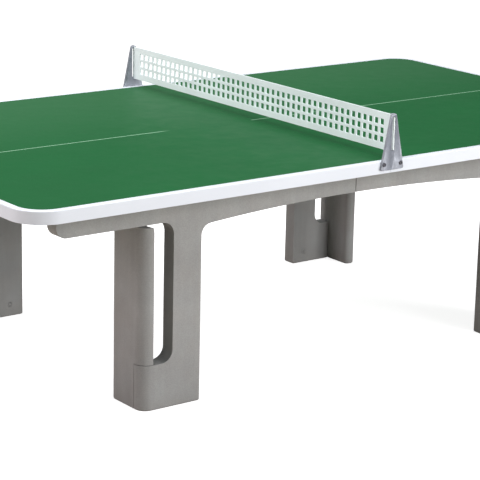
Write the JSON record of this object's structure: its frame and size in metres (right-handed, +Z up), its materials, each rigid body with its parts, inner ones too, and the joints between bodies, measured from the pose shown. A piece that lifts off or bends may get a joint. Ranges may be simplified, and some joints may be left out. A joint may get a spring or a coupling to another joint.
{
  "type": "outdoor ping pong table",
  "caption": "Outdoor table-tennis table with a green top, white edge band, grey concrete side panels and end frames, and a perforated metal net held by two side brackets.",
  "frame": {"origin": "on the floor plane, under the middle of the table", "axes": "+X along the table's length, from the left end to the right end; +Y across the table, along the net, from the front side to the back; +Z up"},
  "size_m": [2.74, 1.5462, 0.918],
  "materials": {
    "green_coated_slab": "satin green coating on a concrete slab",
    "white_edge_band": "white powder coat, satin",
    "grey_cast_concrete": "fine grey cast concrete, matte",
    "light_grey_net_coating": "light grey powder coat, satin",
    "grey_cast_bracket": "blue-grey paint, satin",
    "zinc_plated_steel": "zinc plated"
  },
  "bodies": {
    "root": {"anchor_sleeve_back_left": "zinc_plated_steel", "anchor_sleeve_back_right": "zinc_plated_steel", "anchor_sleeve_front_left": "zinc_plated_steel", "anchor_sleeve_front_right": "zinc_plated_steel", "bracket_screw_back_left": "zinc_plated_steel", "bracket_screw_back_right": "zinc_plated_steel", "bracket_screw_front_left": "zinc_plated_steel", "bracket_screw_front_right": "zinc_plated_steel", "corner_bolt_end_back_left": "zinc_plated_steel", "corner_bolt_end_back_right": "zinc_plated_steel", "corner_bolt_end_front_left": "zinc_plated_steel", "corner_bolt_end_front_right": "zinc_plated_steel", "corner_bolt_side_back_left": "zinc_plated_steel", "corner_bolt_side_back_right": "zinc_plated_steel", "corner_bolt_side_front_left": "zinc_plated_steel", "corner_bolt_side_front_right": "zinc_plated_steel", "corner_cleat_back_left": "zinc_plated_steel", "corner_cleat_back_right": "zinc_plated_steel", "corner_cleat_front_left": "zinc_plated_steel", "corner_cleat_front_right": "zinc_plated_steel", "edge_band_left": "white_edge_band", "edge_band_right": "white_edge_band", "end_frame_left": "grey_cast_concrete", "end_frame_right": "grey_cast_concrete", "net_bracket_back": "grey_cast_bracket", "net_bracket_front": "grey_cast_bracket", "net_plate": "light_grey_net_coating", "seam_bolt_back_1": "zinc_plated_steel", "seam_bolt_back_2": "zinc_plated_steel", "seam_bolt_back_3": "zinc_plated_steel", "seam_bolt_back_4": "zinc_plated_steel", "seam_bolt_front_1": "zinc_plated_steel", "seam_bolt_front_2": "zinc_plated_steel", "seam_bolt_front_3": "zinc_plated_steel", "seam_bolt_front_4": "zinc_plated_steel", "seam_plate_back": "zinc_plated_steel", "seam_plate_front": "zinc_plated_steel", "side_panel_back_left": "grey_cast_concrete", "side_panel_back_right": "grey_cast_concrete", "side_panel_front_left": "grey_cast_concrete", "side_panel_front_right": "grey_cast_concrete", "top_bolt_side_back_left": "zinc_plated_steel", "top_bolt_side_back_right": "zinc_plated_steel", "top_bolt_side_front_left": "zinc_plated_steel", "top_bolt_side_front_right": "zinc_plated_steel", "top_bolt_slab_back_left": "zinc_plated_steel", "top_bolt_slab_back_right": "zinc_plated_steel", "top_bolt_slab_front_left": "zinc_plated_steel", "top_bolt_slab_front_right": "zinc_plated_steel", "top_cleat_back_left": "zinc_plated_steel", "top_cleat_back_right": "zinc_plated_steel", "top_cleat_front_left": "zinc_plated_steel", "top_cleat_front_right": "zinc_plated_steel", "top_slab_left": "green_coated_slab", "top_slab_right": "green_coated_slab"}
  },
  "joints": []
}
